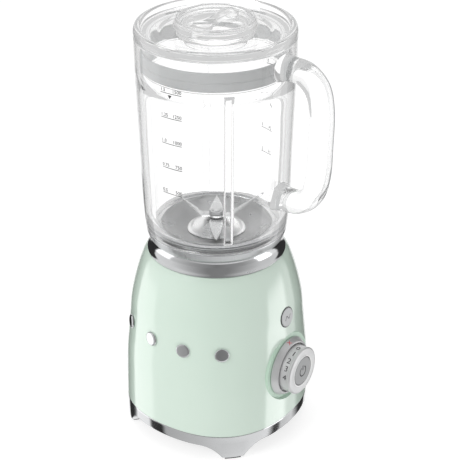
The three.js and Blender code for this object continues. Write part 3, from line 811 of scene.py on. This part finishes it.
def handle():
    """A bar of rounded section, thicker where it grows out of the wall."""
    outer = 106
    line = flow([
        (66, 0, 367.3), (76, 0, 367.6), (90, 0, 366), (101.5, 0, 356), (outer, 0, 339), (outer, 0, 303),
        (104.6, 0, 276), (98.6, 0, 257), (87, 0, 248.1), (74, 0, 246.9), (62.6, 0, 247.4),
    ], 8)
    line = [Vector(p) for p in line]
    run = [0.0]
    for a, b in zip(line, line[1:]):
        run.append(run[-1] + (b - a).length)
    sections = []
    for i, centre in enumerate(line):
        ahead = (line[min(i + 1, len(line) - 1)] - line[max(i - 1, 0)]).normalized()
        side = Vector((ahead.z, 0, -ahead.x))
        from_end = min(run[i], run[-1] - run[i])
        swell = 1 + 0.26 * math.exp(-((from_end / 7) ** 2))
        section = []
        for k in range(40):
            t = 2 * math.pi * k / 40
            c, s = math.cos(t), math.sin(t)
            u = math.copysign(abs(c) ** 0.86, c) * 9.9 * swell
            v = math.copysign(abs(s) ** 0.86, s) * 11.4 * swell
            section.append(tuple(centre + side * u + Vector((0, v, 0))))
        sections.append(section)
    return sweep(sections)


def jug():
    rim = rounded([(69.6, LID_Z - 1.6), (69.6, LID_Z - 0.4, 1.0), (65, LID_Z - 0.4, 0.9), (65, LID_Z - 1.4)],
                  1, loop=False)
    foot = rounded([(46, 203.4), (46, 199.9), (58.1, 199.9), (58.1, RING_TOP + 0.3), (63.0, RING_TOP + 0.3)],
                   0.4, loop=False)
    profile = [*JUG_OUTLINE[:-1], *rim, *inner_wall(), *foot]
    piece = shape_object("jug_glass", turn(profile, rib_angles(), with_ribs), sharp=42)
    combine(piece, shape_object("bar", handle()), "UNION", 42)
    dress(piece, "jug", CLEAR_JUG, ["jug_vessel", "jug_handle"])


def base_ring():
    profile = rounded([
        (49.6, 183.2), (55.2, 183.2), (55.2, JUG_Z + 10.4), (60.2, JUG_Z + 10.4, 0.8), (61.9, 197, 2),
        (63, 201.6, 1), (63.1, RING_TOP, 0.5), (58.4, RING_TOP), (58.4, 199.6), (46.4, 199.6), (46.4, 197.4),
        (49.6, 197.4),
    ], 0.4)
    piece = shape_object("jug_base_ring_skin", turn(profile, even_angles(256)))
    dress(piece, "jug", SATIN, ["jug_base_ring"])


def jug_floor():
    seal = rounded([(46.2, 203.6), (49.8, 203.6), (49.8, 204.2), (46.2, 204.2)], 0.2)
    dress(shape_object("carrier_seal_skin", turn(seal)), "jug", SILICONE, ["carrier_seal"])
    profile = rounded(lifted([
        (22, -11.6, 1), (43, -9.4, 1), (45.6, -8.4, 0.4), (45.6, -2.6), (50, -2.6), (50, -1.6),
        (46.5, -1.8, 1.6), (28.2, -8.3, 1), (26.4, -8.9, 0.4), (22, -9.2),
    ], FLOOR_TOP), 0.3)
    piece = shape_object("blade_carrier_pan", turn(profile))
    dress(piece, "jug", PAN, ["blade_carrier"])
    profile = rounded(lifted([
        (9, -8.4), (21.8, -8.8), (25.9, -8.8), (26, -8.2, 0.5), (24.9, -7.6, 0.4), (23.4, -7.3, 1),
        (20.5, -4.6, 3), (14, -1.2, 3), (10.6, 0, 1), (9, 0),
    ], FLOOR_TOP), 0.3)
    # the dome carries painted highlights in its colour
    dress(shape_object("blade_carrier_dome", turn(profile)), "jug", DOME_PAINTED_HIGHLIGHTS)
    bush = rounded([(4.35, 197.2), (8.7, 197.2), (8.7, 207.4), (4.35, 207.4)], 0.5)
    piece = shape_object("blade_bush_skin", turn(bush, even_angles(96)))
    dress(piece, "jug", STEEL, ["blade_bush"])


MARK_SIZE, MARK_LINE, MARK_BOLD, MARK_LIFT = 4.4, 0.6, 0.05, 1.2


def scale_line(left, right, start, long, z, inset=0.0):
    """One line of a scale, with a number over each of its ends."""
    right_letters = letters(right, MARK_SIZE, MARK_BOLD)
    left_letters = letters(left, MARK_SIZE, MARK_BOLD)
    shapes = [
        bar(0, long, 0, MARK_LINE),
        moved(left_letters, inset, MARK_LIFT),
        moved(right_letters, long - width(right_letters) - inset, MARK_LIFT),
    ]
    return [wrapped(shape, start, z, jug_radius) for shape in shapes]


def volume_marks():
    """Plain numbers: litres and millilitres at the front, ounces and cups at the back. A
    triangle at the front shows the fill limit."""
    parts = []
    lowest = 258
    levels = [("1.5", "1500", 350.5), ("1.25", "1250", 328.3), ("1.0", "1000", 304.7), ("0.75", "750", 282),
              ("0.5", "500", lowest)]
    for litres, millilitres, z in levels:
        start = math.radians(-97.6 + (z - lowest) * 0.02)
        z += (z - lowest) * 0.014
        parts += scale_line(litres, millilitres, start, math.radians(17.1) * jug_radius(z), z)
    limit = extruded([(0, 0), (4, 0), (2, -3.2)], -INK_HALF, INK_HALF)
    parts.append(wrapped(moved(limit, 7.5, -1.4), math.radians(-95.8), levels[0][2] + 1.3, jug_radius))
    dress(shape_object("volume_marks_front", gathered(parts)), "jug", INK)

    parts = []
    levels = [("48", "6", 345), ("40", "5", 322), ("32", "4", 299), ("24", "3", 276), ("16", "2", 253)]
    for ounces, cups, z in levels:
        parts += scale_line(ounces, cups, math.radians(70), math.radians(13) * jug_radius(z), z, 0.6)
    dress(shape_object("volume_marks_back", gathered(parts)), "jug", INK)


# ---- blades --------------------------------------------------------------------------------------

BLADE_TURN = math.radians(-55.3)
BLADE_THICK = 1.6


def blade_cross(near, far):
    """A cross of two arms, each (reach, rise, root width), with its edges ground."""
    hub, tip, bend = 8.4, 1.4, 12.5

    def height(s, reach, rise):
        run = max(0, s - bend)
        ease = min(1, run / 4)
        return rise * run / (reach - bend) * ease

    def half_width(s, reach, root):
        arm = root / 2 if s < bend else root / 2 + (tip / 2 - root / 2) * ((s - bend) / (reach - bend)) ** 1.1
        disc = math.sqrt(max(0, hub * hub - s * s))
        return max(arm, disc)

    stations = []
    for sign, (reach, rise, root) in ((-1, far), (1, near)):
        steps = [reach * k / 40 for k in range(41)]
        stations.append([(sign * s, height(s, reach, rise), half_width(s, reach, root)) for s in steps])
    ordered = list(reversed(stations[0])) + stations[1][1:]
    sections = []
    for s, z, w in ordered:
        ground = min(1.7, 0.5 * w)
        sections.append([
            (s, -w, z + BLADE_THICK / 2), (s, -(w - ground), z + BLADE_THICK), (s, 0, z + BLADE_THICK),
            (s, w - ground, z + BLADE_THICK), (s, w, z + BLADE_THICK / 2), (s, w - ground, z), (s, 0, z),
            (s, -(w - ground), z),
        ])
    return sweep(sections)


def blades():
    level = (43, -2.2, 13)
    low_z = high("blade_nut").z - 3 - 2 * (BLADE_THICK + 0.3)
    for name, z, angle, near, far in (
        ("blade_lower", low_z, BLADE_TURN, level, level),
        ("blade_upper", low_z + BLADE_THICK + 0.3, BLADE_TURN + math.pi / 2, (42, 21, 12), (32, 17, 12)),
    ):
        place = UPRIGHT @ Matrix.Translation((0, 0, z)) @ Matrix.Rotation(angle, 4, "Z")
        piece = shape_object(name + "_skin", blade_cross(near, far), place, 20)
        dress(piece, "blades", STEEL, [name])
    shaft = rounded([
        (0, 196.9), (4, 196.9), (4, 207.7), (7.4, 207.7), (7.4, 208.5), (4, 208.5), (4, 216, 0.8),
        (3.2, 216.8, 0.5), (0, 216.8),
    ], 0.3, loop=False)
    piece = shape_object("blade_shaft_skin", turn(shaft, even_angles(64), loop=False))
    dress(piece, "blades", STEEL, ["blade_shaft"])


# ---- lid and cap ---------------------------------------------------------------------------------

def lid():
    profile = rounded(lifted([
        (62.4, 0), (69.7, 0, 1.2), (69.7, 4.8, 2.4), (68.4, 7.6, 2.2), (66, 8.2, 1.6), (64.2, 7, 1.6),
        (62.8, 2.6, 2), (49, 2.2, 1), (46, 1.4, 1), (34, 1.4, 1.6), (30.8, 3.2, 1), (30.8, 6.2, 0.6),
        (28, 6.2, 0.6), (28, -1.8, 0.8), (56, -1.8, 1.6), (59.4, -3.8, 1.6), (59.4, -29.8, 0.8),
        (62.4, -29.8, 0.8),
    ], LID_Z), 0.5)
    piece = shape_object("lid_cover_clear", turn(profile, even_angles(200)), sharp=50)
    dress(piece, "lid", CLEAR_LID, ["lid_cover"])
    bottom = low("lid_seal").z
    profile = rounded(lifted([
        (62.6, 0), (63.85, 1.4, 1), (63.85, 7.4, 0.6), (63.2, 8.4, 0.5), (63.85, 9.4, 0.6), (63.85, 16, 1),
        (62.6, 17.6),
    ], bottom), 0.3)
    dress(shape_object("lid_seal_skin", turn(profile)), "lid", SILICONE, ["lid_seal"])


def grip_bar(bottom, top):
    """A bar across the cap with a round thumb rest at each end."""
    outline = []
    for k in range(25):
        angle = -0.75 + (math.pi + 1.5) * k / 24
        outline.append((8.6 * math.cos(angle), 19 + 8.6 * math.sin(angle)))
    waist = [(-5.2, 9.5), (-4.4, 5), (-4.2, 0), (-4.4, -5), (-5.2, -9.5)]
    half = outline + waist
    mirrored = [(-x, -y) for x, y in half]
    full = half + mirrored[:25] + [(-x, -y) for x, y in waist]
    inset = 1.2

    def shrunk(by):
        return [(x * (1 - by / 12), y * (1 - by / 28)) for x, y in full]

    levels = [(0, bottom), (0, top - 1.2), (0.35 * inset, top - 0.4), (inset, top)]
    return sweep([[(x, y, z) for x, y in shrunk(by)] for by, z in levels])


def cap():
    top = high("measuring_cap").z
    profile = rounded(lifted([
        (27.4, -26, 0.8), (27.4, -7.7, 0.6), (36, -7.7, 0.8), (36, -5.6, 0.9), (34.6, -4.4, 0.9),
        (34.3, -1, 1.2), (33.4, 0, 0.8), (31.4, 0, 0.8), (30.6, -1, 0.9), (30.2, -4.6, 1.6), (0, -4.6),
        (0, -7), (25, -7, 1.2), (25, -26, 0.8),
    ], top), 0.5)
    piece = shape_object("measuring_cap_clear", turn(profile, even_angles(160)), sharp=50)
    combine(piece, shape_object("grip", grip_bar(top - 5.4, top - 0.2)), "UNION", 42)
    dress(piece, "cap", CLEAR_LID, ["measuring_cap"])


# ---- carried-over CAD nodes ----------------------------------------------------------------------

def carried_nodes():
    """The nodes whose shape is right as it is get their material, and a fine edge."""
    feet = [f"rubber_foot_{i}" for i in range(1, 5)]
    screws = [f"cover_screw_{i}" for i in range(1, 5)]
    groups = [
        (RUBBER, feet),
        (STEEL, [*screws, "bearing_upper", "bearing_lower", "motor_stator", "motor_shaft", "blade_nut"]),
        (DARK, ["bottom_cover", "cord_gland", "cooling_fan", "drive_coupling", "driven_coupling",
                "speed_switch", "pulse_switch"]),
        (GREY, ["motor_housing", "motor_end_cap"]),
        (COPPER, ["motor_rotor"]),
        (BOARD, ["control_board"]),
    ]
    edged = [*feet, "blade_nut", "drive_coupling", "driven_coupling", "bottom_cover"]
    for material, names in groups:
        for name in names:
            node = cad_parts[name]
            node.data.materials.clear()
            node.data.materials.append(material)
            if name in edged:
                edge = node.modifiers.new("edge", "BEVEL")
                edge.width, edge.segments, edge.limit_method = 0.4 * MM, 2, "ANGLE"
                edge.angle_limit = math.radians(38)


# ---- studio --------------------------------------------------------------------------------------

def studio():
    points = [(-4000, -4000, 0), (4000, -4000, 0), (4000, 4000, 0), (-4000, 4000, 0)]
    floor = shape_object("floor", (points, [(0, 1, 2, 3)]))
    material, tree, shader = new_material("floor")
    shade = pattern(tree, 3)
    tree.links.new(two_tone(tree, shade, (0.4, 0.4, 0.4), (0.42, 0.42, 0.42)), shader.inputs["Base Color"])
    shader.inputs["Roughness"].default_value = 0.9
    shader.inputs["Specular IOR Level"].default_value = 0.1
    shader.inputs["Emission Color"].default_value = (1, 1, 1, 1)
    shader.inputs["Emission Strength"].default_value = 0.76
    floor.data.materials.append(material)
    floor.visible_glossy = False


# Brightness of the studio round the object, by degrees from the camera's side, positive to its right.
PANELS = [
    (-180, 0.9), (-158, 0.9), (-154, 0.03), (-126, 0.03), (-122, 1.3), (-88, 1.3), (-84, 0.6), (-45, 0.36),
    (0, 0.2), (45, 0.3), (74, 0.5), (78, 2.2), (104, 2.2), (109, 0.8), (122, 0.8), (126, 0.03), (154, 0.03),
    (157, 0.9), (180, 0.9),
]
# The same for what lies low down, where the skirt looks.
LOW_PANELS = [
    (-180, 0.9), (-154, 0.85), (-122, 0.8), (-112, 0.95), (-98, 0.9), (-95, 0.05), (-81, 0.03), (-77, 0.45),
    (-35, 0.55), (0, 0.68), (35, 0.76), (85, 0.8), (92, 0.3), (95, 0.03), (103, 0.03), (106, 0.6), (130, 0.7),
    (136, 0.05), (145, 0.03), (149, 0.8), (180, 0.9),
]
# The same for what stands high, where the collar looks.
HIGH_PANELS = [
    (-180, 0.9), (-158, 0.9), (-155, 0.03), (-124, 0.03), (-120, 0.75), (-80, 0.68), (-40, 0.38), (-15, 0.22),
    (20, 0.22), (45, 0.36), (80, 0.58), (120, 0.66), (124, 0.03), (154, 0.03), (157, 0.9), (180, 0.9),
]
# And for rays that have been through the clear jug or lid.
SOFT_PANELS = [
    (-180, 1), (-140, 0.95), (-124, 0.5), (-104, 0.42), (-80, 0.7), (-45, 0.76), (0, 0.78), (45, 0.76),
    (80, 0.7), (104, 0.42), (124, 0.5), (140, 0.95), (180, 1),
]
BRIGHTEST = 4


def panel_shade(tree, share, panels):
    """Brightness by direction, as a background shader."""
    ramp = tree.nodes.new("ShaderNodeValToRGB")
    stops = ramp.color_ramp.elements
    stops.remove(stops[1])
    for i, (degrees, value) in enumerate(panels):
        position = (degrees + 180) / 360
        stop = stops[0] if i == 0 else stops.new(position)
        stop.position = position
        stop.color = (value / BRIGHTEST,) * 3 + (1,)
    tree.links.new(share, ramp.inputs["Fac"])
    shade = tree.nodes.new("ShaderNodeBackground")
    shade.inputs["Strength"].default_value = BRIGHTEST
    tree.links.new(ramp.outputs["Color"], shade.inputs["Color"])
    return shade.outputs[0]


def surroundings():
    """An even pale world with a white backdrop. Shiny surfaces see tall soft panels and dark cards
    instead, and what is seen through clear pieces has its own, paler panels."""
    world = bpy.data.worlds.new("studio")
    bpy.context.scene.world = world
    world.use_nodes = True
    tree = world.node_tree
    link = tree.links.new
    place = tree.nodes.new("ShaderNodeTexCoord")
    parts = []
    for axis in (CAMERA_RIGHT, CAMERA_NEAR, Vector((0, 0, 1))):
        along = tree.nodes.new("ShaderNodeVectorMath")
        along.operation = "DOT_PRODUCT"
        along.inputs[1].default_value = axis
        link(place.outputs["Generated"], along.inputs[0])
        parts.append(along.outputs["Value"])
    share = spread(tree, maths(tree, "ARCTAN2", parts[0], parts[1]), 0, 1, -math.pi, math.pi)
    low_down = spread(tree, parts[2], 1, 0, -0.64, -0.61)
    gloss = mixed(tree, low_down, panel_shade(tree, share, PANELS), panel_shade(tree, share, LOW_PANELS))
    high_up = spread(tree, parts[2], 0, 1, -0.2, -0.06)
    gloss = mixed(tree, high_up, gloss, panel_shade(tree, share, HIGH_PANELS))
    path = tree.nodes.new("ShaderNodeLightPath").outputs
    through = maths(tree, "GREATER_THAN", path["Transmission Depth"], 0.5)
    plain = tree.nodes["Background"]
    plain.inputs["Color"].default_value = (1, 1, 1, 1)
    plain.inputs["Strength"].default_value = 0.6
    backdrop = tree.nodes.new("ShaderNodeBackground")
    backdrop.inputs["Color"].default_value = (1, 1, 1, 1)
    seen = mixed(tree, path["Is Camera Ray"], plain.outputs[0], backdrop.outputs[0])
    seen = mixed(tree, path["Is Glossy Ray"], seen, gloss)
    seen = mixed(tree, through, seen, panel_shade(tree, share, SOFT_PANELS))
    link(seen, tree.nodes["World Output"].inputs["Surface"])


def lamp(name, spot, aim, size, power):
    data = bpy.data.lights.new(name, "AREA")
    data.shape, data.size, data.energy = "DISK", size, power
    lamp_object = bpy.data.objects.new(name, data)
    bpy.context.scene.collection.objects.link(lamp_object)
    lamp_object.location = spot
    lamp_object.rotation_euler = (Vector(aim) - Vector(spot)).to_track_quat("-Z", "Y").to_euler()
    lamp_object.visible_glossy = False
    return lamp_object


def lights():
    middle = Vector((AXIS_X * MM, 0, 0.15))
    key = middle - CAMERA_RIGHT * 1.3 + CAMERA_NEAR * 1.0 + Vector((0, 0, 1.1))
    lamp("key", key, middle, 1.0, 11)
    over = middle + Vector((0, 0, 1.7)) - CAMERA_NEAR * 0.3
    lamp("over", over, middle, 1.2, 5)


def camera():
    data = bpy.data.cameras.new("camera")
    data.lens, data.sensor_width = 115.4, 36
    view = bpy.data.objects.new("camera", data)
    bpy.context.scene.collection.objects.link(view)
    aim = Vector((AXIS_X * MM, 0, 0.1937)) + CAMERA_RIGHT * 0.0121
    back = CAMERA_NEAR * math.cos(CAMERA_ELEVATION) + Vector((0, 0, math.sin(CAMERA_ELEVATION)))
    view.location = aim + back * 1.330
    view.rotation_euler = (-back).to_track_quat("-Z", "Y").to_euler()
    bpy.context.scene.camera = view


def main():
    body_shell()
    dial_boss()
    skirt()
    collar()
    jug_seat()
    studs()
    controls()
    dial_marks()
    button_icons()
    jug()
    base_ring()
    jug_floor()
    volume_marks()
    blades()
    lid()
    cap()
    carried_nodes()
    studio()
    surroundings()
    lights()
    camera()
    bpy.context.scene.view_settings.view_transform = "Standard"


main()
